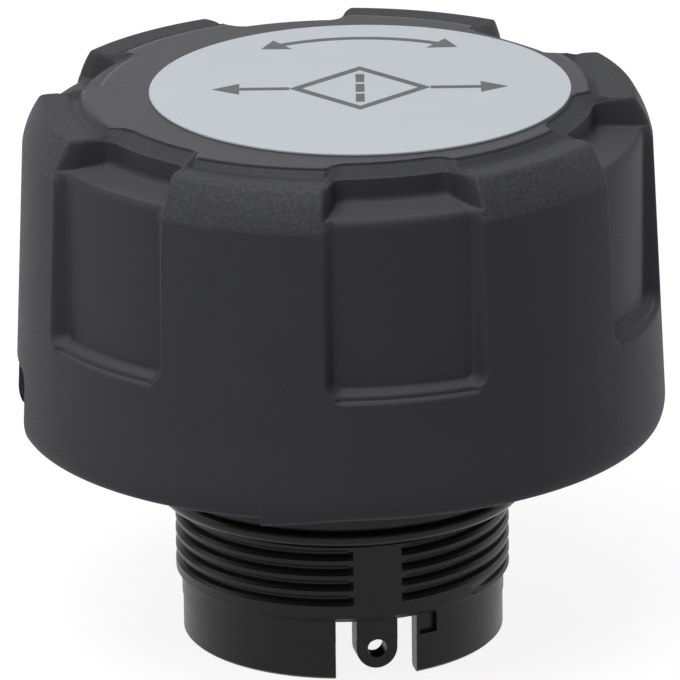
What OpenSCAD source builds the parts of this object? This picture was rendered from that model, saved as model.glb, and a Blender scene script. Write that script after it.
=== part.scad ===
// Breather vent cap: a moulded grip cap over a pleated air filter, on a hollow threaded stub.
// Millimetres, +Z up. The origin is on the axis at the stub's lower end, and the front is at -Y.

/* [Cap] */
// Largest radius of the cap, just above its lower edge
cap_r = 40.7; // [39:0.1:46]
// Height of the cap's lower edge above the stub's end
cap_base_z = 28.3; // [27:0.1:29]
// Height of the cap's flat top above the stub's end
cap_top_z = 70.6; // [69:0.1:76]
// Wall thickness of the cap
cap_wall = 2.4; // [1.6:0.1:3]
// Radius of the rounded lower edge
cap_edge = 2.6; // [1:0.1:4]
// How far the lower edge stands in from the largest radius
cap_edge_in = 1; // [0.4:0.1:1.4]
// Draft of the wall, from the largest radius to the shoulder
cap_draft = 1.5; // [0.5:0.1:2]
// Height of the flat top above the crease where the shoulder starts
shoulder_h = 6; // [5:0.1:7]
// Radius of the rounded shoulder
shoulder_round = 14; // [12:0.5:20]
// Angle by which the shoulder breaks from the drafted wall at the crease
shoulder_tilt = 11.5; // [4:0.5:15]
// Radius of the round edge between the shoulder and the top's rim
rim_round = 2; // [1:0.1:3]
// Fall of the top's rim from the groove to its round edge
rim_fall = 0.35; // [0.1:0.05:0.6]
// How far the flat disc's edge stands in from the largest radius
disc_in = 9.1; // [8.6:0.1:12]
// Width of the groove round the disc
groove_w = 0.9; // [0.4:0.1:1.2]
// Depth of the groove round the disc
groove_depth = 0.5; // [0.2:0.05:0.8]

/* [Finger recesses] */
// Number of finger recesses round the cap
recess_count = 6; // [4:1:8]
// Angle that each recess takes up
recess_angle = 27.8; // [20:0.2:34]
// Depth of the recess floor below the cap's largest radius
recess_depth = 2.7; // [2.1:0.1:3.6]
// Height of the recess's lower ledge above the cap's lower edge
recess_lift = 15.7; // [12:0.1:20]
// Rise of the sloping lower ledge across the recess's depth
recess_base_rise = 0.5; // [0.2:0.1:1.5]
// Depth of the upper ledge below the flat top
recess_ledge_drop = 4; // [3:0.1:4.6]
// Fall of the upper ledge towards the recess floor
recess_ledge_fall = 0.9; // [0.2:0.1:1.5]
// Depth of the upright wall behind the upper ledge below the cap's largest radius
recess_back = 7.3; // [6.6:0.1:8]
// Bevel between that wall and the flat top
recess_bevel = 1.5; // [0.8:0.1:2]
// Radius of the rounded lip between the upper ledge and the recess floor
recess_lip = 1.5; // [0.5:0.1:2.5]
// Radius of the upright corners at the ends of that wall
recess_corner = 2.4; // [1:0.1:4]

/* [Skirt details] */
// Angle from the front to the middle of the skirt's notch, positive towards +X
notch_angle = -97.8; // [-104:0.2:-92]
// Width of the notch in the skirt
notch_w = 13.8; // [6:0.2:15]
// Height of the notch above the lower edge
notch_h = 8.9; // [5:0.1:10]
// Radius of the notch's upper corners
notch_round = 2; // [0.5:0.1:4]
// Angle from the front to the small tooth under the lower edge
tooth_angle = -19.4; // [-24:0.2:-14]
// Length of the tooth along the edge
tooth_l = 10; // [4:0.1:12]
// Depth of the tooth at its steep end
tooth_depth = 1; // [0.3:0.05:1.4]

/* [Label] */
// Mean width of the bare ring between the round label and the disc's edge
label_margin = 5.4; // [3.5:0.1:10]
// Thickness of the label
label_t = 0.25; // [0.1:0.05:0.5]
// Offset of the label's centre from the axis along X
label_x = 2.8; // [0:0.1:3]
// Offset of the label's centre from the axis along Y
label_y = -0.6; // [-1:0.1:1]

/* [Threaded stub] */
// Radius of the stub's thread over its crests
thread_r = 21; // [20.5:0.05:22]
// Height where the full thread starts
thread_base_z = 8.4; // [7.8:0.1:10]
// Height where the thread ends, under the seal ring
thread_top_z = 17.4; // [15:0.1:17.6]
// Depth of the plain pilot below the thread's crests
pilot_drop = 0.85; // [0.6:0.05:1.5]
// Height of the fine step on the pilot
pilot_step_z = 4.9; // [3.5:0.1:5.6]
// Size of the fine step on the pilot
pilot_step = 0.12; // [0.05:0.01:0.2]
// Bevel on the stub's lower edge
pilot_bevel = 0.3; // [0.1:0.05:0.6]
// Wall of the stub between the bore and the thread's crests
stub_wall = 3.5; // [3:0.1:6]

/* [Tongue] */
// Width of the opening in the stub that holds the tongue
slot_w = 10.3; // [8:0.1:12]
// Height of that opening
slot_h = 7.7; // [6.6:0.1:7.9]
// Width of the tongue
tongue_w = 5.2; // [4:0.1:6]
// Gap between the tongue's round end and the stub's lower end
tongue_lift = 1.35; // [0.5:0.05:1.8]
// Diameter of the hole in the tongue
tongue_hole_d = 2.4; // [1:0.1:3]
// Angle from the front to the small pocket beside the tongue
pocket_angle = 19.5; // [18:0.5:40]
// Width of the pocket
pocket_w = 2.5; // [1:0.1:3]
// Depth of the pocket
pocket_depth = 0.6; // [0.3:0.05:1]

/* [Base] */
// Height of the flange's underside, which the seal ring bears on
flange_z = 20.8; // [20.4:0.1:22]
// Width of the flange beyond the thread's crests
flange_w = 2.6; // [1.6:0.1:6]
// Thickness of the flange
flange_t = 2.4; // [1.6:0.1:3]
// Height of the base plate's underside above the cap's lower edge
plate_lift = 2.7; // [2.2:0.1:5]
// Radial gap between the base plate and the skirt, for the air
plate_gap = 1.7; // [1:0.1:3]
// Thickness of the base plate
plate_t = 2.4; // [1.6:0.1:3]
// Height of the centring collar above the base plate
collar_h = 3; // [2:0.1:5]
// Wall thickness of the centring collar
collar_wall = 2; // [1.2:0.1:2.4]
// Number of gussets between flange and plate
gusset_count = 8; // [4:1:12]
// Thickness of a gusset
gusset_t = 2; // [1:0.1:3]
// How far the gussets stop short of the plate's edge
gusset_short = 4; // [2.5:0.1:8]

/* [Seal ring] */
// Section diameter of the seal ring
seal_d = 3.2; // [2.6:0.1:3.4]
// Depth of the ring's seat below the thread's crests
seal_seat = 0.8; // [0.6:0.05:1]
// Radial clearance of the ring on its seat
seal_gap = 0.6; // [0.3:0.05:0.7]

/* [Filter element] */
// Radial gap between the element's end discs and the cap's wall, for the air
element_gap = 3.6; // [2:0.1:6]
// Thickness of an end disc
end_disc_t = 1.6; // [1:0.1:2.5]
// Number of pleats
pleat_count = 48; // [30:1:60]
// Gap from the pleats to the edge of the end discs
pleat_margin = 1; // [0.5:0.1:2]
// Gap between the pleats and the core tube
pleat_gap = 0.2; // [0.1:0.05:0.6]
// Paper thickness, measured along the radius
pleat_paper = 2.4; // [1.4:0.1:3.2]
// Radial gap between the centring collar and the perforated core tube
core_gap = 3; // [1.5:0.1:4]
// Wall thickness of the core tube
core_wall = 1.2; // [0.8:0.1:1.3]
// Number of windows round the core tube
core_windows = 10; // [6:1:14]
// Rows of windows in the core tube
core_rows = 3; // [2:1:5]
// Width of a window
window_w = 6; // [3:0.1:8]
// Width of the bars between the rows
window_bar = 2.4; // [1.5:0.1:4]
// Thickness of the gasket under the element
gasket_t = 1.5; // [0.8:0.1:2.5]
// Width of the gasket
gasket_w = 3.5; // [2:0.1:6]
// Radial clearance round the centring collar
collar_gap = 0.2; // [0.05:0.05:0.35]

/* [Cap fittings] */
// Radius of the ring inside the cap that holds the element down
press_ring_r = 16; // [10:0.1:24]
// Height of that ring below the cap's ceiling
press_ring_h = 4.7; // [4.2:0.1:8]
// Wall thickness of that ring
press_ring_wall = 2; // [1.2:0.1:3]
// Width of the hooks that hold the base plate
hook_w = 8; // [4:0.1:10]
// Height of the hooks
hook_h = 2; // [1.2:0.1:2.2]
// How far the hooks reach under the base plate
hook_reach = 1.2; // [0.6:0.1:2]
// Thickness of the stops above the base plate
stop_t = 2; // [1:0.1:3]
// Height of the stops above the base plate
stop_h = 6; // [3:0.1:7]

/* [Hidden] */
$fn = 96;

// Overlap that joins fused shapes, and reach of a cutter past the surface
eps = 0.5;
front = 270;
pitch_angle = 360 / recess_count;

// Levels and radii of the cap
shoulder_z = cap_top_z - shoulder_h;
shoulder_r = cap_r - cap_draft;
shoulder_centre = [shoulder_r, shoulder_z] - shoulder_round * [cos(shoulder_tilt), sin(shoulder_tilt)];
rim_z = cap_top_z - rim_fall - rim_round;
rim_angle = asin((rim_z - shoulder_centre[1]) / (shoulder_round - rim_round));
rim_centre = [shoulder_centre[0] + (shoulder_round - rim_round) * cos(rim_angle), rim_z];
edge_z = cap_base_z + cap_edge;
disc_r = cap_r - disc_in;
label_r = disc_r - label_margin;
recess_floor_r = cap_r - recess_depth;
recess_back_r = cap_r - recess_back;
bevel_r = recess_back_r - recess_bevel;
recess_base_z = cap_base_z + recess_lift;
ceiling_z = cap_top_z - cap_wall;
ledge_z = cap_top_z - recess_ledge_drop;
skirt_in_r = cap_r - cap_wall;
skirt_top_z = recess_base_z - cap_wall;
well_r = recess_floor_r - cap_wall;
neck_in_r = recess_back_r - cap_wall;
inner_round = shoulder_round - cap_wall;
inner_end = asin((ceiling_z - shoulder_centre[1]) / inner_round);
lobe_angle = pitch_angle - recess_angle - 2 * atan(cap_wall / well_r);
draft_slope = cap_draft / (shoulder_z - edge_z);

// Levels and radii of the base and of the filter element
plate_z = cap_base_z + plate_lift;
plate_r = skirt_in_r - plate_gap;
plate_top = plate_z + plate_t;
gasket_top = plate_top + gasket_t;
media_z = gasket_top + end_disc_t;
element_top = ceiling_z - press_ring_h;
media_top = element_top - end_disc_t;
media_h = media_top - media_z;
bore_r = thread_r - stub_wall;
collar_r = bore_r + collar_wall;
flange_r = thread_r + flange_w;
seat_r = thread_r - seal_seat;
pilot_r = thread_r - pilot_drop;
pilot_step_r = pilot_r + pilot_step;
thread_run_in = thread_r - pilot_step_r;
core_r = collar_r + core_gap;
core_out_r = core_r + core_wall;
element_r = well_r - element_gap;
pleat_out_r = element_r - pleat_margin;
pleat_in_r = core_out_r + pleat_gap;
tongue_hole_z = tongue_lift + tongue_w / 2;

// Point at a radius and an angle
function polar(r, angle) = r * [cos(angle), sin(angle)];

// Points along an arc round a centre
function arc(centre, r, from, to, steps = 8) =
    [for (i = [0 : steps]) centre + polar(r, from + (to - from) * i / steps)];

// Radius of the drafted wall at a height
function wall_r(z) = cap_r - draft_slope * (z - edge_z);

// A flat ring
module ring(r_in, r_out, h) {
    difference() {
        cylinder(r = r_out, h = h);
        translate([0, 0, -eps]) cylinder(r = r_in, h = h + 2 * eps);
    }
}

// The part of a revolved profile that is centred on an angle
module sector(middle, angle) {
    rotate([0, 0, middle - angle / 2]) rotate_extrude(angle = angle) children();
}

// Section of the cap's outside, with the round lower edge, drafted wall, shoulder and top groove
module cap_outline() {
    polygon(concat(
        [[0, cap_base_z], [cap_r - cap_edge_in, cap_base_z]],
        [for (a = [15 : 15 : 90])
            [cap_r - cap_edge_in * (1 - sin(a)), edge_z - cap_edge * cos(a)]],
        arc(shoulder_centre, shoulder_round, shoulder_tilt, rim_angle),
        arc(rim_centre, rim_round, rim_angle, 90),
        [[disc_r + groove_w, cap_top_z], [disc_r + groove_w / 2, cap_top_z - groove_depth],
         [disc_r, cap_top_z], [0, cap_top_z]]));
}

// Section of the round hollow inside the cap
module cap_hollow() {
    polygon([[0, cap_base_z - eps], [skirt_in_r, cap_base_z - eps], [skirt_in_r, skirt_top_z],
             [well_r, skirt_top_z], [well_r, ledge_z - cap_wall], [neck_in_r, ledge_z - cap_wall],
             [neck_in_r, ceiling_z], [0, ceiling_z]]);
}

// Section of the pocket that keeps a lobe at the wall's thickness
module lobe_hollow() {
    polygon(concat(
        [[neck_in_r - eps, skirt_top_z - eps], [wall_r(skirt_top_z) - cap_wall, skirt_top_z - eps]],
        arc(shoulder_centre, inner_round, shoulder_tilt, inner_end),
        [[neck_in_r - eps, ceiling_z]]));
}

// Section of a finger recess, which runs from its lower ledge up through the top's edge
module recess_section() {
    far_r = cap_r + cap_wall;
    ledge_tilt = atan(recess_ledge_fall / (recess_floor_r - recess_back_r));
    lip_r = recess_floor_r - recess_lip;
    lip_z = ledge_z - (lip_r - recess_back_r) * tan(ledge_tilt) - recess_lip / cos(ledge_tilt);
    polygon(concat(
        [[far_r, recess_base_z - recess_base_rise], [cap_r, recess_base_z - recess_base_rise],
         [recess_floor_r, recess_base_z + recess_base_rise]],
        arc([lip_r, lip_z], recess_lip, 0, 90 - ledge_tilt, 4),
        [[recess_back_r, ledge_z], [recess_back_r, cap_top_z - recess_bevel],
         [bevel_r - eps, cap_top_z + eps], [far_r, cap_top_z + eps]]));
}

// Fillers that round the two upright corners of a recess centred on +X
module recess_corners() {
    half = recess_angle / 2;
    centre_r = recess_back_r + recess_corner;
    turn = half - asin(recess_corner / centre_r);
    end_r = sqrt(pow(centre_r, 2) - pow(recess_corner, 2));
    far_angle = half + atan(eps / bevel_r);
    for (side = [0, 1]) mirror([0, side, 0]) translate([0, 0, recess_base_z])
        linear_extrude(cap_top_z + 2 * eps - recess_base_z) difference() {
            polygon([polar(bevel_r - 2 * eps, turn), polar(centre_r, turn), polar(end_r, half),
                     polar(end_r, far_angle), polar(bevel_r - 2 * eps, far_angle)]);
            translate(polar(centre_r, turn)) circle(r = recess_corner);
        }
}

module recess_cut() {
    difference() {
        sector(0, recess_angle) recess_section();
        recess_corners();
    }
}

// Opening in the skirt, with round upper corners
module skirt_notch() {
    half_w = notch_w / 2;
    corner = half_w - notch_round;
    rotate([0, 0, front + notch_angle]) translate([plate_r + eps, 0, cap_base_z])
        rotate([90, 0, 90]) linear_extrude(cap_r)
            polygon(concat([[-half_w, -eps], [half_w, -eps]],
                           arc([corner, notch_h - notch_round], notch_round, 0, 90),
                           arc([-corner, notch_h - notch_round], notch_round, 90, 180)));
}

// Small saw tooth under the lower edge
module rim_tooth() {
    rim_w = cap_wall - cap_edge_in;
    rotate([0, 0, front + tooth_angle]) translate([skirt_in_r + rim_w / 4, 0, cap_base_z])
        rotate([90, 0, 90]) linear_extrude(rim_w / 2)
            polygon([[-tooth_l / 2, eps], [-tooth_l / 2, -tooth_depth],
                     [tooth_l / 2, 0], [tooth_l / 2, eps]]);
}

// Hook under the base plate and stop above it, inside the skirt
module plate_holder() {
    reach = skirt_in_r - plate_r + hook_reach + eps;
    translate([plate_r - hook_reach, -hook_w / 2, plate_z - hook_h]) cube([reach, hook_w, hook_h]);
    translate([plate_r - hook_reach, -stop_t / 2, plate_top]) cube([reach, stop_t, stop_h]);
}

module cap() {
    color("#2b2c30") {
        difference() {
            rotate_extrude() cap_outline();
            rotate_extrude() cap_hollow();
            for (i = [0 : recess_count - 1]) {
                rotate([0, 0, front + i * pitch_angle]) recess_cut();
                sector(front + (i + 0.5) * pitch_angle, lobe_angle) lobe_hollow();
            }
            skirt_notch();
        }
        for (i = [0 : recess_count - 1]) rotate([0, 0, front + i * pitch_angle]) plate_holder();
        rim_tooth();
        translate([0, 0, element_top])
            ring(press_ring_r - press_ring_wall, press_ring_r, press_ring_h + eps);
    }
}

module label() {
    color("#c6ced6") translate([label_x, label_y, cap_top_z]) cylinder(r = label_r, h = label_t);
}

// Section of the base: pilot, thread, seal seat, flange, plate and centring collar
module base_section() {
    polygon([[bore_r, 0], [pilot_r - pilot_bevel, 0], [pilot_r, pilot_bevel], [pilot_r, pilot_step_z],
             [pilot_step_r, pilot_step_z], [pilot_step_r, thread_base_z - thread_run_in],
             [thread_r, thread_base_z], [thread_r, thread_top_z],
             [seat_r, thread_top_z], [seat_r, flange_z], [flange_r, flange_z],
             [flange_r, flange_z + flange_t], [seat_r, flange_z + flange_t], [seat_r, plate_z],
             [plate_r, plate_z], [plate_r, plate_top], [collar_r, plate_top],
             [collar_r, plate_top + collar_h], [bore_r, plate_top + collar_h]]);
}

// Opening at the front of the stub, round a hanging tongue with a hole
module tongue_cut() {
    rotate([90, 0, 0]) linear_extrude(thread_r + eps) difference() {
        translate([-slot_w / 2, -eps]) square([slot_w, slot_h + eps]);
        difference() {
            union() {
                translate([-tongue_w / 2, tongue_hole_z]) square([tongue_w, slot_h]);
                translate([0, tongue_hole_z]) circle(d = tongue_w);
            }
            translate([0, tongue_hole_z]) circle(d = tongue_hole_d);
        }
    }
}

// Shallow square pocket beside the tongue
module stub_pocket() {
    bottom = pilot_step_z + pilot_step;
    rotate([0, 0, front + pocket_angle]) translate([pilot_r - pocket_depth, -pocket_w / 2, bottom])
        cube([thread_r, pocket_w, slot_h - bottom]);
}

// Upright gussets that carry the plate on the flange
module gussets() {
    bottom = flange_z + flange_t;
    for (i = [0 : gusset_count - 1])
        rotate([0, 0, i * 360 / gusset_count]) rotate([90, 0, 0])
            translate([0, 0, -gusset_t / 2]) linear_extrude(gusset_t)
                polygon([[seat_r - eps, bottom - eps], [flange_r - eps, bottom - eps],
                         [flange_r - eps, bottom], [plate_r - gusset_short, plate_z],
                         [plate_r - gusset_short, plate_z + eps], [seat_r - eps, plate_z + eps]]);
}

module threaded_base() {
    color("#232327") {
        difference() {
            rotate_extrude() base_section();
            tongue_cut();
            stub_pocket();
        }
        gussets();
    }
}

module seal_ring() {
    color("#141416") translate([0, 0, flange_z - seal_d / 2])
        rotate_extrude() translate([seat_r + seal_gap + seal_d / 2, 0]) circle(d = seal_d);
}

module element_gasket() {
    color("#303034") translate([0, 0, plate_top])
        ring(collar_r + collar_gap, collar_r + collar_gap + gasket_w, gasket_t);
}

module lower_end_disc() {
    color("#3a3b3f") translate([0, 0, gasket_top]) ring(collar_r + collar_gap, element_r, end_disc_t);
}

// Star outline of the pleats
module pleats(r_tip, r_root) {
    polygon([for (i = [0 : 2 * pleat_count - 1])
        let (r = i % 2 == 0 ? r_tip : r_root, a = i * 180 / pleat_count) r * [cos(a), sin(a)]]);
}

module filter_media() {
    color("#d9d2bd") translate([0, 0, media_z]) linear_extrude(media_h) difference() {
        pleats(pleat_out_r, pleat_in_r + pleat_paper);
        pleats(pleat_out_r - pleat_paper, pleat_in_r);
    }
}

module core_tube() {
    window_h = (media_h - (core_rows + 1) * window_bar) / core_rows;
    color("#3a3b3f") translate([0, 0, media_z]) difference() {
        ring(core_r, core_out_r, media_h);
        for (i = [0 : core_windows - 1], j = [0 : core_rows - 1])
            rotate([0, 0, i * 360 / core_windows])
                translate([core_r - core_wall, -window_w / 2, window_bar + j * (window_h + window_bar)])
                    cube([3 * core_wall, window_w, window_h]);
    }
}

module upper_end_disc() {
    color("#3a3b3f") translate([0, 0, media_top]) cylinder(r = element_r, h = end_disc_t);
}

cap();
label();
threaded_base();
seal_ring();
element_gasket();
lower_end_disc();
filter_media();
core_tube();
upper_end_disc();
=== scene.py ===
"""Looks of the breather vent cap: soft-edged moulded cap, real thread, seal ring, printed label."""
import math

import bmesh
import bpy
from mathutils import Matrix, Vector


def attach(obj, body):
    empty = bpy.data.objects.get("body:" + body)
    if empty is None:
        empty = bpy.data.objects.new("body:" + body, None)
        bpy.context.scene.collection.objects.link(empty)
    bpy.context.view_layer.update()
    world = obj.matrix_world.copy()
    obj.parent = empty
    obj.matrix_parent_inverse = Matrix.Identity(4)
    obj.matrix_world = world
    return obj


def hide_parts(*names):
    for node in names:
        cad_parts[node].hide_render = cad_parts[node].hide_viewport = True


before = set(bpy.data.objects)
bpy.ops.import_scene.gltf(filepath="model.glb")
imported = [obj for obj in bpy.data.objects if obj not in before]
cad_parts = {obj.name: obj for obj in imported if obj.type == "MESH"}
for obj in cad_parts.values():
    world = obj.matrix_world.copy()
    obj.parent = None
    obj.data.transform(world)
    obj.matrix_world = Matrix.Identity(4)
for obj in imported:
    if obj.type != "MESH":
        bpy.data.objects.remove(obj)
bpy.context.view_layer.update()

# Units and directions
MM = 0.001
FRONT = math.radians(270)
PITCH_COUNT = 6
PITCH = 2 * math.pi / PITCH_COUNT

# Cap, in millimetres
CAP_R = 40.7
CAP_BASE_Z = 28.3
CAP_TOP_Z = 70.6
CAP_EDGE = 2.6
CAP_EDGE_IN = 1.0
CAP_WALL = 2.4
CAP_DRAFT = 1.5
SHOULDER_Z = 64.6
SHOULDER_ROUND = 14.0
SHOULDER_TILT = math.radians(11.5)
RIM_R = 35.57
RIM_Z = 69.85
RIM_LIP_Z = 69.8
RIM_START_Z = 69.1
GROOVE_OUT_R = 33.5
GROOVE_Z = 69.5
GROOVE_R = 32.3
DISC_R = 31.6
TOP_IN_R = 28.0
RIM_FLAT = 0.5
RIM_ROUND = 2.2
RIM_CORNER_RISE = 0.05
VALLEY_ROUND = 0.4
DISC_ROUND = 0.5
SKIRT_IN_R = CAP_R - CAP_WALL
EDGE_Z = CAP_BASE_Z + CAP_EDGE
CEILING_Z = CAP_TOP_Z - CAP_WALL

# Finger recesses
RECESS_HALF = math.radians(13.9)
RECESS_R = 38.0
RECESS_BASE_Z = 44.3
RECESS_LEDGE_Z = 66.5
RECESS_LEDGE_FALL = 0.4
RECESS_BACK_R = 31.9
RECESS_BEVEL_Z = 69.4
RECESS_BEVEL_IN = 2.7
RECESS_LIP = 1.0
RECESS_FILLET = 2.4
RECESS_CORNER = 1.6
LEDGE_BACK_ROUND = 0.7
SIDE_RAMP = 1.4
TOP_RAMP = 1.8
TOP_RAMP_Z = 61.5
TOP_RAMP_RISE = 5.0
RAMP_REACH = 0.62
BASE_RAMP = 1.2
BASE_STEP_AT = 0.16
BASE_STEP_RISE = 0.5
INNER_HALF = math.radians(17.7)
INNER_SHOULDER_R = 34.2
INNER_STEP = 0.3
INNER_BREAK = 0.5
INNER_BREAK_LONG = 0.6

# Heights and radii of the rows of points on the cap's shell, and how many there are
BAND_ROWS_Z = (33.0, 36.0, 39.0, 41.0)
STEP_ROWS_Z = (41.8, 46.0)
FLOOR_ROWS_Z = (47.5, TOP_RAMP_Z)
SKIRT_ROWS_Z = (30.0, 36.0)
INNER_LOBE_ROWS_Z = (52.0, 62.0, 64.6, 65.8, 66.8, 67.6)
INNER_FLOOR_ROWS_Z = (52.0, 61.0)
TOP_ROWS_R = (26.0, 18.0, 9.0)
CEILING_ROWS_R = (24.0, 12.0)
EDGE_ROWS = 9
STEP_ROWS = 40
FLOOR_ROWS = 9
LEDGE_ROWS = 44
RIM_ROWS = 18
DISC_ROWS = 14
BEVEL_POINTS = 60

# Skirt notch, rim tooth and the fittings inside the cap
NOTCH_ANGLE = math.radians(-97.8)
NOTCH_W = 13.8
NOTCH_H = 8.9
NOTCH_ROUND = 2.0
TOOTH_STEEP = math.radians(-26.4)
TOOTH_END = math.radians(-11.4)
TOOTH_DEPTH = 1.0
TOOTH_FACE = 0.002
HOOK_W = 8.0
HOOK_H = 2.0
HOOK_REACH = 1.2
STOP_T = 2.0
STOP_H = 6.0
PRESS_RING_R = 16.0
PRESS_RING_WALL = 2.0
ELEMENT_TOP_Z = 63.5

# Label and its print
LABEL_R = 26.2
LABEL_T = 0.25
LABEL_X = 2.8
LABEL_Y = -0.6
LABEL_BREAK = 0.08
AXIS_R = 0.001
PRINT_T = 0.02
STROKE = 1.1
TURN_R = 20.5
SIGN_HALF = 8.0
AIR_REACH = 15.0
TURN_ARC = (62, 118)
TURN_TIPS = (53, 127)
HEAD_HALF = 2.2
HEAD_L = 3.4
DASH_L = 3.2
DASH_STARTS = (-5.6, -1.6, 2.4)

# Base
THREAD_R = 21.0
THREAD_PITCH = 2.0
THREAD_DEPTH = 0.95
THREAD_FLAT = 0.5
THREAD_ROOT = 0.22
THREAD_EDGE = 0.28
THREAD_EDGE_SLOPE = 1.3
THREAD_TOP_FALL = 0.1
THREAD_BASE_Z = 8.4
THREAD_TOP_Z = 17.8
GROOVE_FRONT_Z = 10.85
GROOVE_START = math.radians(38)
GROOVE_END = math.radians(150)
GROOVE_FADE = math.radians(0.4)
GROOVE_RUN_OUT = math.radians(22)
GROOVE_END_SHARE = 0.2
GROOVE_STEP_DEG = 1.5
STRIP_HALF = math.radians(8.35)
PILOT_R = 20.15
PILOT_STEP_Z = 4.9
PILOT_STEP = 0.12
PILOT_STEP_RISE = 0.08
PILOT_BREAK = 0.3
BORE_R = 17.5
SEAT_R = 20.2
FLANGE_Z = 20.8
FLANGE_R = 23.6
FLANGE_T = 2.4
PLATE_Z = 31.0
PLATE_R = 36.6
PLATE_T = 2.4
COLLAR_R = 19.5
COLLAR_TOP_Z = 36.4
GUSSET_COUNT = 8
GUSSET_T = 2.0
GUSSET_SHORT = 4.0
SLOT_W = 10.3
SLOT_H = 7.7
TONGUE_W = 5.2
TONGUE_HOLE_Z = 3.95
TONGUE_HOLE_D = 2.4
POCKET_ANGLE = math.radians(19.5)
POCKET_W = 2.5
POCKET_DEPTH = 0.6

# Seal ring
SEAL_D = 2.3
SEAL_GAP = 0.95

# Small roundings of edges, and how far a joined form sinks into the next
BREAK = 0.4
SINK = 0.5

# How far cutters run past what they cut
CUT_LOW = 1.0
CUT_IN = 6.0
CUT_OUT = 2.0

# Share of the shoulder's sparkle, its painted glints and its bump, that the rim has
RIM_SPARKLE = 0.4

# Camera, fitted to the photograph
CAMERA_AZIMUTH = math.radians(-12.0)
CAMERA_ELEVATION = math.radians(20.92)
CAMERA_ROLL = math.radians(-0.69)
CAMERA_DISTANCE = 1.227
CAMERA_FOCAL_PX = 9696.0
FRAME_PX = 680.0
SENSOR_MM = 36.0
STUB_PIXEL = (345.2, 618.6)

# Studio
WORLD_STRENGTH = 0.2
FLOOR_PAINT = 0.2
FLOOR_GLOW = 0.88
FLOOR_HALF = 4000
LAMP_AIM = 0.6
LAMPS = (("top", (-0.25, -0.32, 0.95), 0.7, 7.6), ("back", (0.0, 1.2, 0.3), 0.9, 1.9),
         ("left", (-1.0, 0.35, 0.35), 0.8, 2.2), ("right", (1.0, 0.45, 0.35), 0.8, 2.2))


# Mesh helpers

def new_object(name, verts, faces):
    """A mesh object from points in millimetres."""
    mesh = bpy.data.meshes.new(name)
    mesh.from_pydata([(x * MM, y * MM, z * MM) for x, y, z in verts], [], faces)
    mesh.validate()
    piece = bpy.data.objects.new(name, mesh)
    bpy.context.scene.collection.objects.link(piece)
    bm = bmesh.new()
    bm.from_mesh(mesh)
    bmesh.ops.remove_doubles(bm, verts=bm.verts, dist=1e-7)
    bmesh.ops.recalc_face_normals(bm, faces=bm.faces)
    bm.to_mesh(mesh)
    bm.free()
    return piece


def smooth(piece, angle_deg=32):
    """Smooth shading, with the edges over an angle left sharp."""
    mesh = piece.data
    mesh.polygons.foreach_set("use_smooth", [True] * len(mesh.polygons))
    mesh.set_sharp_from_angle(angle=math.radians(angle_deg))


def boolean(piece, other, operation):
    """Joins or cuts a mesh with another, which is then removed."""
    modifier = piece.modifiers.new(operation, "BOOLEAN")
    modifier.operation = operation
    modifier.object = other
    modifier.solver = "MANIFOLD"
    depsgraph = bpy.context.evaluated_depsgraph_get()
    mesh = bpy.data.meshes.new_from_object(piece.evaluated_get(depsgraph))
    piece.modifiers.clear()
    piece.data = mesh
    bpy.data.objects.remove(other)


def joined(name, pieces):
    """Several meshes as one object."""
    bm = bmesh.new()
    for piece in pieces:
        piece.data.transform(piece.matrix_world)
        bm.from_mesh(piece.data)
    mesh = bpy.data.meshes.new(name)
    bm.to_mesh(mesh)
    bm.free()
    for piece in pieces:
        bpy.data.objects.remove(piece)
    whole = bpy.data.objects.new(name, mesh)
    bpy.context.scene.collection.objects.link(whole)
    return whole


def polar(r, angle, z):
    return (r * math.cos(angle), r * math.sin(angle), z)


def fillet(points, radii, steps=5):
    """A polyline whose inner corners are rounded by the given reaches."""
    out = [points[0]]
    for before, corner, after, reach in zip(points, points[1:], points[2:], radii):
        p, c, n = Vector(before), Vector(corner), Vector(after)
        reach = min(reach, (p - c).length * 0.49, (n - c).length * 0.49)
        start = c + (p - c).normalized() * reach
        end = c + (n - c).normalized() * reach
        for i in range(steps + 1):
            t = i / steps
            out.append(tuple((1 - t) ** 2 * start + 2 * t * (1 - t) * c + t * t * end))
    out.append(points[-1])
    return out


def resample(points, count):
    """Points at even spacing along a polyline."""
    lengths = [0.0]
    for a, b in zip(points, points[1:]):
        lengths.append(lengths[-1] + math.dist(a, b))
    out = []
    k = 0
    for i in range(count):
        at = lengths[-1] * i / (count - 1)
        while k < len(points) - 2 and lengths[k + 1] < at:
            k += 1
        t = (at - lengths[k]) / max(lengths[k + 1] - lengths[k], 1e-9)
        out.append(tuple(a + (b - a) * t for a, b in zip(points[k], points[k + 1])))
    return out


def spread(low, high, count):
    return [low + (high - low) * i / (count - 1) for i in range(count)]


def revolve(name, section, columns=360):
    """A closed section of (radius, height) points, turned round the axis."""
    verts = [polar(r, 2 * math.pi * i / columns, z) for i in range(columns) for r, z in section]
    rows = len(section)
    faces = []
    for i in range(columns):
        for j in range(rows):
            a, b = i * rows + j, i * rows + (j + 1) % rows
            c, d = (i + 1) % columns * rows + (j + 1) % rows, (i + 1) % columns * rows + j
            faces.append((a, d, c, b))
    return new_object(name, verts, faces)


def prism(name, outline, low, high, place):
    """An outline of (across, up) points swept from low to high, with each point placed by a function."""
    verts = [place(u, v, low) for u, v in outline] + [place(u, v, high) for u, v in outline]
    n = len(outline)
    faces = [tuple(range(n)), tuple(range(2 * n - 1, n - 1, -1))]
    faces += [(i, n + i, n + (i + 1) % n, (i + 1) % n) for i in range(n)]
    return new_object(name, verts, faces)


def radial_place(angle, base_z):
    """Places (across, up, out) at an angle round the axis, with across along the tangent."""
    def place(u, v, out):
        x = out * math.cos(angle) - u * math.sin(angle)
        y = out * math.sin(angle) + u * math.cos(angle)
        return (x, y, base_z + v)
    return place


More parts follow.
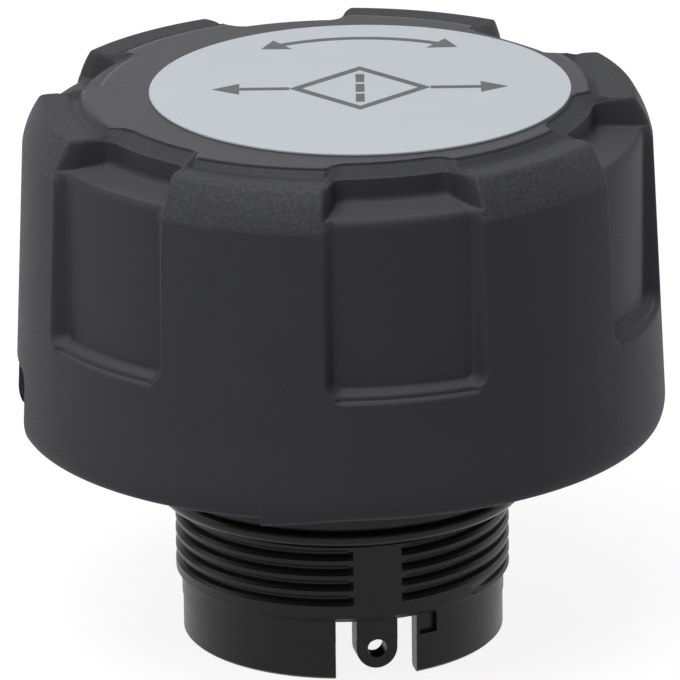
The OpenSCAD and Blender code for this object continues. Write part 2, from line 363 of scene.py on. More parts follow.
def rectangle(u0, v0, u1, v1):
    return [(u0, v0), (u1, v0), (u1, v1), (u0, v1)]


def round_points(centre, r, start, end, steps=12):
    """Points along an arc, in degrees."""
    angles = [math.radians(a) for a in spread(start, end, steps + 1)]
    return [(centre[0] + r * math.cos(a), centre[1] + r * math.sin(a)) for a in angles]


def circle(centre, r, count):
    """Evenly spaced points round a circle."""
    return round_points(centre, r, 0, 360 - 360 / count, count - 1)


# Cap

def shoulder_centre():
    """Radius and height of the middle of the shoulder's rounding."""
    r = CAP_R - CAP_DRAFT - SHOULDER_ROUND * math.cos(SHOULDER_TILT)
    return r, SHOULDER_Z - SHOULDER_ROUND * math.sin(SHOULDER_TILT)


def wall_r(z):
    """Radius of a lobe of the cap at a height: drafted wall, then the round shoulder."""
    if z <= SHOULDER_Z:
        return CAP_R - CAP_DRAFT * (z - EDGE_Z) / (SHOULDER_Z - EDGE_Z)
    centre_r, centre_z = shoulder_centre()
    return centre_r + math.sqrt(SHOULDER_ROUND ** 2 - (z - centre_z) ** 2)


def top_z(r):
    """Height of a lobe's top: disc, groove round it and sloping rim."""
    knots = [(0.0, CAP_TOP_Z), (DISC_R, CAP_TOP_Z), (GROOVE_R, GROOVE_Z)]
    knots += [(GROOVE_OUT_R, RIM_LIP_Z), (RIM_R, RIM_Z)]
    for (low_r, low_z), (high_r, high_z) in zip(knots, knots[1:]):
        if r <= high_r:
            return low_z + (high_z - low_z) * (r - low_r) / (high_r - low_r)
    return RIM_Z


def back_radius(offset):
    """Radius of the upright wall behind a recess's ledge, with rounded ends."""
    centre_r = RECESS_BACK_R + RECESS_FILLET
    turn = abs(offset) - RECESS_HALF + math.asin(RECESS_FILLET / centre_r)
    if turn <= 0:
        return RECESS_BACK_R
    across = min(centre_r * math.sin(turn), RECESS_FILLET)
    return centre_r * math.cos(turn) - math.sqrt(RECESS_FILLET ** 2 - across ** 2)


def outer_rows(back_r):
    """Pairs of matching points up the outside, on a lobe and in a recess."""
    rows = []
    edge = [(SKIRT_IN_R, CAP_BASE_Z), (SKIRT_IN_R + RIM_FLAT, CAP_BASE_Z)]
    for a in spread(0, math.pi / 2, EDGE_ROWS):
        edge.append((CAP_R - CAP_EDGE_IN * (1 - math.sin(a)), EDGE_Z - CAP_EDGE * math.cos(a)))
    edge += [(wall_r(z), z) for z in BAND_ROWS_Z]
    rows += [(p, p) for p in edge]
    heights = spread(*STEP_ROWS_Z, STEP_ROWS) + spread(*FLOOR_ROWS_Z, FLOOR_ROWS)
    rows += [((wall_r(z), z), (RECESS_R, z)) for z in heights]
    ledge_slope = RECESS_LEDGE_FALL / (RECESS_R - RECESS_BACK_R)
    ledge_back_z = RECESS_LEDGE_Z - (back_r - RECESS_BACK_R) * ledge_slope
    corners = [(RECESS_R, TOP_RAMP_Z), (RECESS_R, RECESS_LEDGE_Z - RECESS_LEDGE_FALL),
               (back_r, ledge_back_z), (back_r, RIM_START_Z)]
    hidden = resample(fillet(corners, [RECESS_LIP, LEDGE_BACK_ROUND]), LEDGE_ROWS)[1:]
    rows += [((wall_r(z), z), (r, z)) for r, z in hidden]
    rim_corner = (wall_r(RIM_Z), RIM_Z + RIM_CORNER_RISE)
    rim = [(wall_r(RIM_START_Z), RIM_START_Z), rim_corner, (GROOVE_OUT_R, RIM_LIP_Z)]
    groove = [(GROOVE_OUT_R, RIM_LIP_Z), (GROOVE_R, GROOVE_Z), (DISC_R, CAP_TOP_Z), (TOP_IN_R, CAP_TOP_Z)]
    lobe_top = resample(fillet(rim, [RIM_ROUND], steps=10), RIM_ROWS)[1:]
    lobe_top += resample(fillet(groove, [VALLEY_ROUND, DISC_ROUND]), DISC_ROWS)[1:]
    bevel = [(back_r, RIM_START_Z), (back_r, RECESS_BEVEL_Z)]
    bevel_rise = (CAP_TOP_Z - RECESS_BEVEL_Z) / RECESS_BEVEL_IN
    for r in spread(back_r, TOP_IN_R, BEVEL_POINTS)[1:]:
        bevel.append((r, min(top_z(r), RECESS_BEVEL_Z + bevel_rise * (back_r - r))))
    recess_top = resample(bevel, len(lobe_top) + 1)[1:]
    rows += list(zip(lobe_top, recess_top))
    rows += [((r, CAP_TOP_Z), (r, CAP_TOP_Z)) for r in TOP_ROWS_R]
    return rows


def inner_rows():
    """Pairs of matching points up the inside, on a lobe and behind a recess."""
    step_z = RECESS_BASE_Z - CAP_WALL
    well_r = RECESS_R - CAP_WALL
    neck_r = RECESS_BACK_R - CAP_WALL
    under_ledge = RECESS_LEDGE_Z - CAP_WALL
    ceiling_edge = (neck_r - INNER_BREAK, CEILING_Z)
    skirt = [(SKIRT_IN_R, z) for z in (*SKIRT_ROWS_Z, step_z - INNER_STEP)]
    lobe = skirt + [(wall_r(step_z) - CAP_WALL, step_z)]
    lobe += [(wall_r(z) - CAP_WALL, z) for z in INNER_LOBE_ROWS_Z]
    lobe += [(INNER_SHOULDER_R, CEILING_Z), ceiling_edge]
    recess = skirt + [(well_r, z) for z in (step_z, *INNER_FLOOR_ROWS_Z, under_ledge - INNER_BREAK)]
    recess += [(well_r - INNER_BREAK_LONG, under_ledge), (neck_r + INNER_BREAK, under_ledge)]
    recess += [(neck_r, under_ledge + INNER_BREAK_LONG), (neck_r, CEILING_Z - BREAK), ceiling_edge]
    rows = list(zip(lobe, recess))
    rows += [((r, CEILING_Z), (r, CEILING_Z)) for r in CEILING_ROWS_R]
    return rows


def column_offsets():
    """Angles across one recess and half a lobe each side, closer together at the recess's sides."""
    fillet_start = RECESS_HALF - math.asin(RECESS_FILLET / (RECESS_BACK_R + RECESS_FILLET))
    ramp = TOP_RAMP / RECESS_R * RAMP_REACH
    half = spread(0.0, fillet_start, 8)
    half += spread(fillet_start, RECESS_HALF - ramp, 8)[1:]
    half += spread(RECESS_HALF - ramp, RECESS_HALF + ramp, 23)[1:]
    half += spread(RECESS_HALF + ramp, PITCH / 2, 10)[1:]
    offsets = [-a for a in reversed(half[1:-1])] + half
    return sorted(offsets + [TOOTH_STEEP - TOOTH_FACE, TOOTH_STEEP])


def ease(t):
    t = min(max(t, 0.0), 1.0)
    return t * t * (3 - 2 * t)


def recess_share(offset, z):
    """How far the surface is sunk into the recess: 1 on its floor, 0 on the lobes and the band below."""
    ramp = SIDE_RAMP + (TOP_RAMP - SIDE_RAMP) * ease((z - TOP_RAMP_Z) / TOP_RAMP_RISE)
    across = (abs(offset) - RECESS_HALF) * RECESS_R / ramp
    drop = RECESS_BASE_Z - z
    below = (min(drop, BASE_STEP_AT) + max(drop - BASE_STEP_AT - BASE_STEP_RISE, 0.0)) / BASE_RAMP
    corner = RECESS_CORNER / ramp
    qa, qb = across + corner, below + corner
    outside = math.hypot(max(qa, 0.0), max(qb, 0.0)) + min(max(qa, qb), 0.0) - corner
    return ease(0.5 - outside)


def inner_share(offset):
    return ease(0.5 - (abs(offset) - INNER_HALF) * RECESS_R / TOP_RAMP)


def tooth_drop(turn):
    """Depth of the rim's tooth at an angle from the front: full at its steep end, then fading out."""
    if not TOOTH_STEEP <= turn <= TOOTH_END:
        return 0.0
    return TOOTH_DEPTH * (TOOTH_END - turn) / (TOOTH_END - TOOTH_STEEP)


def blended(lobe, recess, share):
    """Radius and height of a point between a lobe's and a recess's."""
    return [a + (b - a) * share for a, b in zip(lobe, recess)]


def cap_shell():
    """The cap as one closed skin: outside, top, inside and the rim between them."""
    offsets = column_offsets()
    angles = [(FRONT + i * PITCH + a, a) for i in range(PITCH_COUNT) for a in offsets]
    inner = inner_rows()
    verts, faces = [], []
    for angle, offset in angles:
        outer = outer_rows(back_radius(offset))
        stretch = tooth_drop(angle - FRONT) / CAP_EDGE
        for lobe, recess in outer:
            r, z = blended(lobe, recess, recess_share(offset, recess[1]))
            verts.append(polar(r, angle, z - max(EDGE_Z - z, 0.0) * stretch))
        for lobe, recess in inner:
            r, z = blended(lobe, recess, inner_share(offset))
            verts.append(polar(r, angle, z))
    rows, out_rows, columns = len(outer) + len(inner), len(outer), len(angles)
    top_pole = len(verts)
    verts += [(0, 0, CAP_TOP_Z), (0, 0, CEILING_Z)]
    for i in range(columns):
        a, b = i * rows, (i + 1) % columns * rows
        faces += [(a + j, b + j, b + j + 1, a + j + 1) for j in range(out_rows - 1)]
        faces.append((a + out_rows - 1, b + out_rows - 1, top_pole))
        faces.append((a, a + out_rows, b + out_rows, b))
        faces += [(a + j, a + j + 1, b + j + 1, b + j) for j in range(out_rows, rows - 1)]
        faces.append((b + rows - 1, a + rows - 1, top_pole + 1))
    return new_object("cap_shell", verts, faces)


def cap_fittings():
    """Hooks, stops and hold-down ring that are moulded inside the cap."""
    parts = []
    low, high = PLATE_R - HOOK_REACH, SKIRT_IN_R + SINK
    hook = rectangle(-HOOK_W / 2, -HOOK_H, HOOK_W / 2, 0)
    stop = rectangle(-STOP_T / 2, PLATE_T, STOP_T / 2, PLATE_T + STOP_H)
    for i in range(PITCH_COUNT):
        place = radial_place(FRONT + i * PITCH, PLATE_Z)
        parts.append(prism("hook", hook, low, high, place))
        parts.append(prism("stop", stop, low, high, place))
    inside = PRESS_RING_R - PRESS_RING_WALL
    ring = rectangle(inside, ELEMENT_TOP_Z, PRESS_RING_R, CEILING_Z + SINK)
    parts.append(revolve("press_ring", ring, 96))
    return joined("cap_fittings", parts)


def skirt_notch():
    half = NOTCH_W / 2
    corner = half - NOTCH_ROUND
    outline = [(-half, -CUT_LOW), (half, -CUT_LOW)]
    outline += round_points((corner, NOTCH_H - NOTCH_ROUND), NOTCH_ROUND, 0, 90)
    outline += round_points((-corner, NOTCH_H - NOTCH_ROUND), NOTCH_ROUND, 90, 180)
    place = radial_place(FRONT + NOTCH_ANGLE, CAP_BASE_Z)
    return prism("notch", outline, PLATE_R + SINK, CAP_R + 2 * CUT_OUT, place)


def make_cap():
    cap = cap_shell()
    boolean(cap, skirt_notch(), "DIFFERENCE")
    boolean(cap, cap_fittings(), "UNION")
    cap.name = "moulded_cap"
    smooth(cap, 40)
    return cap


# Threaded base

def base_section():
    """Section of the base: pilot, thread, seal seat, flange, plate and centring collar."""
    step_r = PILOT_R + PILOT_STEP
    run_in_z = THREAD_BASE_Z - (THREAD_R - step_r)
    flange_top, plate_top = FLANGE_Z + FLANGE_T, PLATE_Z + PLATE_T
    corners = [(BORE_R, BREAK), (BORE_R + BREAK, 0), (PILOT_R - PILOT_BREAK, 0), (PILOT_R, PILOT_BREAK)]
    corners += [(PILOT_R, PILOT_STEP_Z), (step_r, PILOT_STEP_Z + PILOT_STEP_RISE), (step_r, run_in_z)]
    corners += [(THREAD_R, THREAD_BASE_Z), (THREAD_R, THREAD_TOP_Z)]
    corners += [(SEAT_R, THREAD_TOP_Z + THREAD_TOP_FALL)]
    corners += [(SEAT_R, FLANGE_Z), (FLANGE_R - BREAK, FLANGE_Z), (FLANGE_R, FLANGE_Z + BREAK)]
    corners += [(FLANGE_R, flange_top - BREAK), (FLANGE_R - BREAK, flange_top), (SEAT_R, flange_top)]
    corners += [(SEAT_R, PLATE_Z), (PLATE_R - BREAK, PLATE_Z), (PLATE_R, PLATE_Z + BREAK)]
    corners += [(PLATE_R, plate_top - BREAK), (PLATE_R - BREAK, plate_top), (COLLAR_R, plate_top)]
    corners += [(COLLAR_R, COLLAR_TOP_Z - BREAK), (COLLAR_R - BREAK, COLLAR_TOP_Z), (BORE_R, COLLAR_TOP_Z)]
    return corners


def thread_groove(turn, start, end, fade_in=GROOVE_FADE, fade_out=GROOVE_FADE):
    """One turn of the thread's groove, from one side of the plain strip round to the other."""
    steps = int(math.degrees(end - start) / GROOVE_STEP_DEG)
    mouth_h = (THREAD_PITCH - THREAD_FLAT) / 2
    edge_h = mouth_h - THREAD_EDGE_SLOPE * THREAD_EDGE
    verts, faces = [], []
    for i in range(steps + 1):
        a = start + (end - start) * i / steps
        z = GROOVE_FRONT_Z + THREAD_PITCH * (turn + a / (2 * math.pi))
        share = min(1.0, GROOVE_END_SHARE + min((a - start) / fade_in, (end - a) / fade_out))
        half = [(THREAD_DEPTH, THREAD_ROOT / 2), (THREAD_EDGE, edge_h)]
        half += [(0.0, mouth_h), (-BREAK, mouth_h + BREAK)]
        half = [(depth * share if depth > 0 else depth, up) for depth, up in half]
        section = [(depth, -up) for depth, up in half] + half[::-1]
        verts += [polar(THREAD_R - depth, FRONT + a, z + up) for depth, up in section]
    n = len(section)
    for i in range(steps):
        k = n * i
        faces += [(k + j, k + (j + 1) % n, k + n + (j + 1) % n, k + n + j) for j in range(n)]
    last = n * steps
    faces += [tuple(range(n))[::-1], tuple(range(last, last + n))]
    return new_object("groove", verts, faces)


def stub_cutters():
    """The two slots with the tongue between them, the hole in the tongue, and the small pocket."""
    half, reach = SLOT_W / 2, TONGUE_W / 2
    outline = [(-half, -CUT_LOW), (half, -CUT_LOW), (half, SLOT_H), (reach, SLOT_H)]
    outline += round_points((0, TONGUE_HOLE_Z), reach, 0, -180, 24)
    outline += [(-reach, SLOT_H), (-half, SLOT_H)]
    front = radial_place(FRONT, 0)
    inside, outside = BORE_R - CUT_IN, THREAD_R + CUT_OUT
    hole = circle((0, TONGUE_HOLE_Z), TONGUE_HOLE_D / 2, 48)
    cuts = [prism("slots", outline, inside, outside, front), prism("hole", hole, inside, outside, front)]
    bottom = PILOT_STEP_Z + PILOT_STEP
    pocket = rectangle(-POCKET_W / 2, bottom, POCKET_W / 2, SLOT_H)
    place = radial_place(FRONT + POCKET_ANGLE, 0)
    cuts.append(prism("pocket", pocket, PILOT_R - POCKET_DEPTH, outside, place))
    return joined("stub_cutters", cuts)


def gussets():
    bottom = FLANGE_Z + FLANGE_T
    inside, outside, far = SEAT_R - SINK, FLANGE_R - SINK, PLATE_R - GUSSET_SHORT
    outline = [(inside, bottom - SINK), (outside, bottom - SINK), (outside, bottom)]
    outline += [(far, PLATE_Z), (far, PLATE_Z + SINK), (inside, PLATE_Z + SINK)]
    parts = []
    for i in range(GUSSET_COUNT):
        turn = radial_place(2 * math.pi * i / GUSSET_COUNT, 0)

        def place(out, up, across, turn=turn):
            return turn(across, up, out)

        parts.append(prism("gusset", outline, -GUSSET_T / 2, GUSSET_T / 2, place))
    return joined("gussets", parts)


def make_base():
    base = revolve("base", base_section())
    boolean(base, gussets(), "UNION")
    strip_end = 2 * math.pi - STRIP_HALF
    turns = [thread_groove(-1, GROOVE_START, strip_end, fade_in=GROOVE_RUN_OUT)]
    turns += [thread_groove(turn, STRIP_HALF, strip_end) for turn in range(3)]
    turns.append(thread_groove(3, STRIP_HALF, GROOVE_END, fade_out=GROOVE_RUN_OUT))
    boolean(base, joined("grooves", turns), "DIFFERENCE")
    boolean(base, stub_cutters(), "DIFFERENCE")
    base.name = "moulded_base"
    smooth(base, 24)
    return base


# Seal ring

def make_seal():
    centre_r, z = SEAT_R + SEAL_GAP + SEAL_D / 2, FLANGE_Z - SEAL_D / 2
    section = circle((centre_r, z), SEAL_D / 2, 36)
    ring = revolve("rubber_seal_ring", section, 240)
    smooth(ring, 60)
    return ring


# Label and its print

def make_label():
    top = CAP_TOP_Z + LABEL_T
    section = [(AXIS_R, CAP_TOP_Z), (LABEL_R, CAP_TOP_Z), (LABEL_R, top - LABEL_BREAK)]
    section += [(LABEL_R - LABEL_BREAK, top), (AXIS_R, top)]
    label = revolve("round_label", section, 256)
    label.data.transform(Matrix.Translation((LABEL_X * MM, LABEL_Y * MM, 0)))
    smooth(label, 30)
    return label


def band(name, pairs, place, closed=False):
    """A thin printed stroke between pairs of points, given across and up on the label."""
    verts = [place(*point, height) for pair in pairs for point in pair for height in (0, PRINT_T)]
    count = len(pairs)
    faces = []
    for i in range(count if closed else count - 1):
        a, b = 4 * i, 4 * ((i + 1) % count)
        faces += [(a + 1, a + 3, b + 3, b + 1), (a, b, b + 2, a + 2)]
        faces += [(a, a + 1, b + 1, b), (a + 2, b + 2, b + 3, a + 3)]
    if not closed:
        last = 4 * (count - 1)
        faces += [(0, 2, 3, 1), (last, last + 1, last + 3, last + 2)]
    return new_object(name, verts, faces)


def arrow_head(tip, back, place):
    """A printed triangle from the middle of its base to its tip."""
    along = Vector(tip) - Vector(back)
    side = Vector((-along.y, along.x)).normalized() * HEAD_HALF
    corners = [Vector(back) - side, Vector(tip), Vector(back) + side]
    return prism("head", [tuple(c) for c in corners], 0, PRINT_T, place)


def make_print():
    """Plain signs on the label: turn either way, and a filter with air passing in and out."""
    top = CAP_TOP_Z + LABEL_T
    turn_cos, turn_sin = math.cos(CAMERA_AZIMUTH), math.sin(CAMERA_AZIMUTH)

    def place(u, v, height):
        x = LABEL_X + u * turn_cos - v * turn_sin
        y = LABEL_Y + u * turn_sin + v * turn_cos
        return (x, y, top + height)

    half = STROKE / 2
    outside = round_points((0, 0), TURN_R + half, *TURN_ARC, 40)
    inside = round_points((0, 0), TURN_R - half, *TURN_ARC, 40)
    parts = [band("turn", list(zip(outside, inside)), place)]
    for end, beyond in zip(TURN_ARC, TURN_TIPS):
        back = polar(TURN_R, math.radians(end), 0)[:2]
        tip = polar(TURN_R, math.radians(beyond), 0)[:2]
        parts.append(arrow_head(tip, back, place))
    outer, inner = SIGN_HALF + half * math.sqrt(2), SIGN_HALF - half * math.sqrt(2)
    diamond = list(zip(round_points((0, 0), outer, 0, 270, 3), round_points((0, 0), inner, 0, 270, 3)))
    parts.append(band("diamond", diamond, place, True))
    for low in DASH_STARTS:
        dash = [((-half, z), (half, z)) for z in (low, low + DASH_L)]
        parts.append(band("dash", dash, place))
    for side in (-1, 1):
        air = [((side * out, half), (side * out, -half)) for out in (outer, AIR_REACH)]
        parts.append(band("air", air, place))
        parts.append(arrow_head((side * (AIR_REACH + HEAD_L), 0), (side * AIR_REACH, 0), place))
    return joined("label_print", parts)


# Materials

def new_material(name, specular=0.5):
    """A node material with its shader and the object's own coordinates, in metres."""
    material = bpy.data.materials.new(name)
    material.use_nodes = True
    nodes = material.node_tree.nodes
    coords = nodes.new("ShaderNodeTexCoord").outputs["Object"]
    nodes["Principled BSDF"].inputs["Specular IOR Level"].default_value = specular
    return material, material.node_tree, nodes["Principled BSDF"], coords


def noise(tree, coords, scale, detail=2.0):
    node = tree.nodes.new("ShaderNodeTexNoise")
    node.inputs["Scale"].default_value = scale
    node.inputs["Detail"].default_value = detail
    tree.links.new(coords, node.inputs["Vector"])
    return node.outputs["Fac"]


def remap(tree, value, low, high, to_low, to_high):
    node = tree.nodes.new("ShaderNodeMapRange")
    for name, number in (("From Min", low), ("From Max", high), ("To Min", to_low), ("To Max", to_high)):
        node.inputs[name].default_value = number
    tree.links.new(value, node.inputs["Value"])
    return node.outputs["Result"]


def combined(tree, operation, a, b):
    """Two values, each a number or a socket, put together by a math operation."""
    node = tree.nodes.new("ShaderNodeMath")
    node.operation = operation
    for k, value in enumerate((a, b)):
        if isinstance(value, float):
            node.inputs[k].default_value = value
        else:
            tree.links.new(value, node.inputs[k])
    return node.outputs[0]


def times(tree, a, b):
    return combined(tree, "MULTIPLY", a, b)


def upward(tree):
    """How far the surface faces up, from -1 to 1."""
    split = tree.nodes.new("ShaderNodeSeparateXYZ")
    tree.links.new(tree.nodes.new("ShaderNodeNewGeometry").outputs["Normal"], split.inputs[0])
    return split.outputs["Z"]


def mix_colour(tree, share, low, high):
    """A blend of two colours, each given as numbers or as a socket."""
    node = tree.nodes.new("ShaderNodeMix")
    node.data_type = "RGBA"
    for name, colour in ((6, low), (7, high)):
        if isinstance(colour, tuple):
            node.inputs[name].default_value = (*colour, 1)
        else:
            tree.links.new(colour, node.inputs[name])
    tree.links.new(share, node.inputs[0])
    return node.outputs[2]


def bump(tree, height, strength, distance, under=None):
    """A bump of a height, over another bump, with the strength as a number or a socket."""
    node = tree.nodes.new("ShaderNodeBump")
    node.inputs["Distance"].default_value = distance
    if isinstance(strength, float):
        node.inputs["Strength"].default_value = strength
    else:
        tree.links.new(strength, node.inputs["Strength"])
    tree.links.new(height, node.inputs["Height"])
    if under is not None:
        tree.links.new(under, node.inputs["Normal"])
    return node.outputs["Normal"]


def height_and_radius(tree, coords):
    """Height above the stub's end and distance from the axis."""
    split = tree.nodes.new("ShaderNodeSeparateXYZ")
    tree.links.new(coords, split.inputs[0])
    flat = tree.nodes.new("ShaderNodeCombineXYZ")
    tree.links.new(split.outputs["X"], flat.inputs["X"])
    tree.links.new(split.outputs["Y"], flat.inputs["Y"])
    length = tree.nodes.new("ShaderNodeVectorMath")
    length.operation = "LENGTH"
    tree.links.new(flat.outputs[0], length.inputs[0])
    return split.outputs["Z"], length.outputs["Value"]


def distance_from(tree, radius, z, centre):
    """Distance of a point, given by radius and height, from a centre in millimetres."""
    point = tree.nodes.new("ShaderNodeCombineXYZ")
    tree.links.new(radius, point.inputs["X"])
    tree.links.new(z, point.inputs["Y"])
    node = tree.nodes.new("ShaderNodeVectorMath")
    node.operation = "DISTANCE"
    tree.links.new(point.outputs[0], node.inputs[0])
    node.inputs[1].default_value = (centre[0] * MM, centre[1] * MM, 0)
    return node.outputs["Value"]


def specks(tree, coords, scale, radius, share):
    """Small scattered specks: 1 inside a speck, 0 elsewhere."""
    cells = tree.nodes.new("ShaderNodeTexVoronoi")
    cells.inputs["Scale"].default_value = scale
    tree.links.new(coords, cells.inputs["Vector"])
    split = tree.nodes.new("ShaderNodeSeparateColor")
    tree.links.new(cells.outputs["Color"], split.inputs[0])
    inside = remap(tree, cells.outputs["Distance"], radius, radius * 0.6, 0.0, 1.0)
    chosen = remap(tree, split.outputs[0], 1 - share, 1 - share + 0.01, 0.0, 1.0)
    return times(tree, inside, chosen)


def cap_plastic():
    """Black moulded plastic: matt grain on the wall, sparkle on the shoulder with painted glints, painted
    top light on up-facing faces below the rim, smoother top disc.
    """
    material, tree, shader, coords = new_material("cap_plastic", 0.2)
    z, radius = height_and_radius(tree, coords)
    above = remap(tree, z, SHOULDER_Z * MM, (SHOULDER_Z + 0.5) * MM, 0.0, 1.0)
    from_centre = distance_from(tree, radius, z, shoulder_centre())
    on_round = remap(tree, from_centre, (SHOULDER_ROUND - 0.5) * MM, (SHOULDER_ROUND - 0.2) * MM, 0.0, 1.0)
    smooth_top = remap(tree, z, (CAP_TOP_Z - 0.25) * MM, (CAP_TOP_Z - 0.1) * MM, 0.0, 1.0)
    grained = remap(tree, smooth_top, 0.0, 1.0, 1.0, 0.0)
    on_rim = remap(tree, z, (RIM_Z - 0.5) * MM, (RIM_Z - 0.2) * MM, 0.0, 1.0)
    rim_sparkle = times(tree, times(tree, on_rim, grained), RIM_SPARKLE)
    on_lobe = combined(tree, "MAXIMUM", on_round, rim_sparkle)
    shoulder = times(tree, above, on_lobe)
    below_rim = remap(tree, on_rim, 0.0, 1.0, 1.0, 0.0)
    # Mask of up-facing faces below the rim, which get painted top light: a lighter colour standing in for
    # the light the recess ledges catch
    painted_top_light = times(tree, remap(tree, upward(tree), 0.8, 0.97, 0.0, 1.0), below_rim)
    cloud = noise(tree, coords, 90.0, 3.0)
    fine = noise(tree, coords, 3200.0, 2.0)
    coarse = noise(tree, coords, 2600.0, 2.0)
    tone = mix_colour(tree, cloud, (0.043, 0.0442, 0.0505), (0.052, 0.0532, 0.0598))
    # Painted top light: up-facing faces made lighter
    tone = mix_colour(tree, painted_top_light, tone, (0.078, 0.079, 0.085))
    # Painted glints: lighter spots in the shoulder's grain standing in for the sparkle of light on its
    # texture
    painted_glint = times(tree, shoulder, remap(tree, coarse, 0.42, 0.72, 0.12, 0.8))
    tone = mix_colour(tree, painted_glint, tone, (0.092, 0.094, 0.101))
    tone = mix_colour(tree, smooth_top, tone, (0.0235, 0.024, 0.03))
    dust = specks(tree, coords, 260.0, 0.045, 0.035)
    tone = mix_colour(tree, dust, tone, (0.3, 0.29, 0.27))
    tree.links.new(tone, shader.inputs["Base Color"])
    rough = remap(tree, fine, 0.3, 0.7, 0.52, 0.64)
    smoother = remap(tree, smooth_top, 0.0, 1.0, 1.0, 0.58)
    tree.links.new(times(tree, rough, smoother), shader.inputs["Roughness"])
    grain = bump(tree, fine, 0.3, 0.00004)
    sparkle = bump(tree, coarse, times(tree, shoulder, 0.5), 0.00006, grain)
    tree.links.new(sparkle, shader.inputs["Normal"])
    return material


def base_plastic():
    """Black plastic, smoother than the cap, with faint moulding streaks."""
    material, tree, shader, coords = new_material("base_plastic", 0.25)
    cloud = noise(tree, coords, 140.0, 3.0)
    tone = mix_colour(tree, cloud, (0.018, 0.0182, 0.0205), (0.0255, 0.0258, 0.029))
    tone = mix_colour(tree, specks(tree, coords, 300.0, 0.04, 0.05), tone, (0.25, 0.24, 0.23))
    tree.links.new(tone, shader.inputs["Base Color"])
    fine = noise(tree, coords, 2400.0, 2.0)
    tree.links.new(remap(tree, fine, 0.3, 0.7, 0.3, 0.4), shader.inputs["Roughness"])
    tree.links.new(bump(tree, fine, 0.15, 0.00003), shader.inputs["Normal"])
    return material


def seal_rubber():
    """Black rubber with an oily gloss."""
    material, tree, shader, coords = new_material("seal_rubber", 0.22)
    film = noise(tree, coords, 420.0, 3.0)
    tone = mix_colour(tree, film, (0.006, 0.006, 0.007), (0.011, 0.011, 0.0115))
    tree.links.new(tone, shader.inputs["Base Color"])
    tree.links.new(remap(tree, film, 0.3, 0.7, 0.14, 0.24), shader.inputs["Roughness"])
    tree.links.new(bump(tree, noise(tree, coords, 1800.0, 2.0), 0.06, 0.00003), shader.inputs["Normal"])
    return material


def label_film():
    """Pale blue-silver satin film."""
    material, tree, shader, coords = new_material("label_film")
    mottle = noise(tree, coords, 130.0, 3.0)
    tone = mix_colour(tree, mottle, (0.545, 0.595, 0.64), (0.575, 0.625, 0.672))
    tree.links.new(tone, shader.inputs["Base Color"])
    fine = noise(tree, coords, 2600.0, 2.0)
    tree.links.new(remap(tree, fine, 0.3, 0.7, 0.4, 0.52), shader.inputs["Roughness"])
    tree.links.new(bump(tree, fine, 0.06, 0.00002), shader.inputs["Normal"])
    return material


def label_ink():
    """Dark grey print with slightly uneven cover."""
    material, tree, shader, coords = new_material("label_ink")
    cover = noise(tree, coords, 900.0, 3.0)
    tone = mix_colour(tree, cover, (0.11, 0.112, 0.118), (0.15, 0.152, 0.158))
    tree.links.new(tone, shader.inputs["Base Color"])
    tree.links.new(remap(tree, cover, 0.3, 0.7, 0.45, 0.6), shader.inputs["Roughness"])
    return material


def filter_paper():
    """Cream filter paper with fibres."""
    material, tree, shader, coords = new_material("filter_paper")
    fibre = noise(tree, coords, 1600.0, 5.0)
    tone = mix_colour(tree, fibre, (0.6, 0.55, 0.42), (0.74, 0.69, 0.56))
    tree.links.new(tone, shader.inputs["Base Color"])
    tree.links.new(remap(tree, fibre, 0.3, 0.7, 0.8, 0.95), shader.inputs["Roughness"])
    tree.links.new(bump(tree, fibre, 0.3, 0.00008), shader.inputs["Normal"])
    return material


def element_plastic():
    """Plain dark moulded plastic of the filter element."""
    material, tree, shader, coords = new_material("element_plastic")
    grain = noise(tree, coords, 1200.0, 3.0)
    tone = mix_colour(tree, grain, (0.042, 0.043, 0.047), (0.058, 0.059, 0.063))
    tree.links.new(tone, shader.inputs["Base Color"])
    tree.links.new(remap(tree, grain, 0.3, 0.7, 0.45, 0.6), shader.inputs["Roughness"])
    tree.links.new(bump(tree, grain, 0.15, 0.00004), shader.inputs["Normal"])
    return material


def dress(piece, material):
    piece.data.materials.clear()
    piece.data.materials.append(material)


# Scene

def look_at(camera, target, roll):
    back = (camera.location - target).normalized()
    side = Vector((0, 0, 1)).cross(back).normalized()
    up = back.cross(side)
    rolled_side = side * math.cos(roll) + up * math.sin(roll)
    rolled_up = up * math.cos(roll) - side * math.sin(roll)
    rotation = Matrix((rolled_side, rolled_up, back)).transposed()
    camera.rotation_euler = rotation.to_euler()


def make_camera():
    data = bpy.data.cameras.new("camera")
    camera = bpy.data.objects.new("camera", data)
    bpy.context.scene.collection.objects.link(camera)
    data.sensor_width = SENSOR_MM
    data.lens = SENSOR_MM * CAMERA_FOCAL_PX / FRAME_PX
    data.clip_start = 0.1
    data.clip_end = 20
    a, e = CAMERA_AZIMUTH, CAMERA_ELEVATION
    direction = Vector((math.sin(a) * math.cos(e), -math.cos(a) * math.cos(e), math.sin(e)))
    camera.location = CAMERA_DISTANCE * direction
    height = (STUB_PIXEL[1] - FRAME_PX / 2) / CAMERA_FOCAL_PX * CAMERA_DISTANCE / math.cos(e)
    look_at(camera, Vector((0, 0, height)), CAMERA_ROLL)
    bpy.context.scene.camera = camera


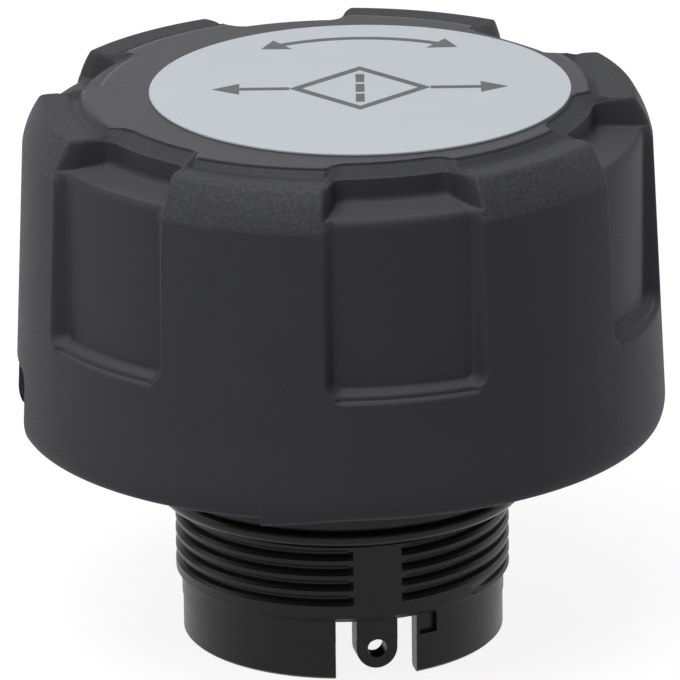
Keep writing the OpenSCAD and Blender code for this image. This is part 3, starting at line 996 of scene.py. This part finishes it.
def make_floor():
    """Pale floor that keeps the object's shadow."""
    sides = rectangle(-FLOOR_HALF, -FLOOR_HALF, FLOOR_HALF, FLOOR_HALF)
    corners = [(x, y, 0) for x, y in sides]
    floor = new_object("floor", corners, [(0, 1, 2, 3)])
    material = bpy.data.materials.new("floor")
    material.use_nodes = True
    tree = material.node_tree
    tree.nodes.clear()
    paint = tree.nodes.new("ShaderNodeBsdfDiffuse")
    paint.inputs["Color"].default_value = (FLOOR_PAINT, FLOOR_PAINT, FLOOR_PAINT, 1)
    glow = tree.nodes.new("ShaderNodeEmission")
    tree.links.new(times(tree, seen_directly(tree), FLOOR_GLOW), glow.inputs["Strength"])
    both = tree.nodes.new("ShaderNodeAddShader")
    tree.links.new(paint.outputs[0], both.inputs[0])
    tree.links.new(glow.outputs[0], both.inputs[1])
    out = tree.nodes.new("ShaderNodeOutputMaterial")
    tree.links.new(both.outputs[0], out.inputs["Surface"])
    floor.data.materials.append(material)


def seen_directly(tree):
    """1 for rays from the camera and for rays that a mirror or glass passes on, else 0."""
    path = tree.nodes.new("ShaderNodeLightPath")
    value = path.outputs["Is Camera Ray"]
    for name in ("Is Glossy Ray", "Is Transmission Ray"):
        value = combined(tree, "MAXIMUM", value, path.outputs[name])
    return value


def make_world():
    """Even white surroundings at a plain level."""
    world = bpy.data.worlds.new("studio")
    bpy.context.scene.world = world
    world.use_nodes = True
    background = world.node_tree.nodes["Background"]
    background.inputs["Color"].default_value = (1, 1, 1, 1)
    background.inputs["Strength"].default_value = WORLD_STRENGTH


def make_lamp(name, place, size, power):
    """A square soft lamp that points at the middle of the cap."""
    data = bpy.data.lights.new(name, "AREA")
    data.size = size
    data.energy = power
    lamp = bpy.data.objects.new(name, data)
    bpy.context.scene.collection.objects.link(lamp)
    lamp.location = place
    aim = Vector((0, 0, CAP_TOP_Z * MM * LAMP_AIM)) - Vector(place)
    lamp.rotation_euler = aim.to_track_quat("-Z", "Y").to_euler()


cap = make_cap()
base = make_base()
seal = make_seal()
label = make_label()
label_print = make_print()
finishes = {"cap_plastic": cap_plastic(), "label_film": label_film(), "base_plastic": base_plastic(),
            "seal_rubber": seal_rubber(), "filter_paper": filter_paper(),
            "element_plastic": element_plastic()}
for piece, node, slot in ((cap, "cap", "cap_plastic"), (base, "threaded_base", "base_plastic"),
                          (seal, "seal_ring", "seal_rubber"), (label, "label", "label_film")):
    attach(piece, "root")
    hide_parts(node)
    dress(piece, finishes[slot])
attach(label_print, "root")
dress(label_print, label_ink())
for node, slot in (("element_gasket", "seal_rubber"), ("lower_end_disc", "element_plastic"),
                   ("filter_media", "filter_paper"), ("core_tube", "element_plastic"),
                   ("upper_end_disc", "element_plastic")):
    dress(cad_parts[node], finishes[slot])
make_camera()
make_floor()
make_world()
for lamp in LAMPS:
    make_lamp(*lamp)
bpy.context.scene.view_settings.view_transform = "Standard"
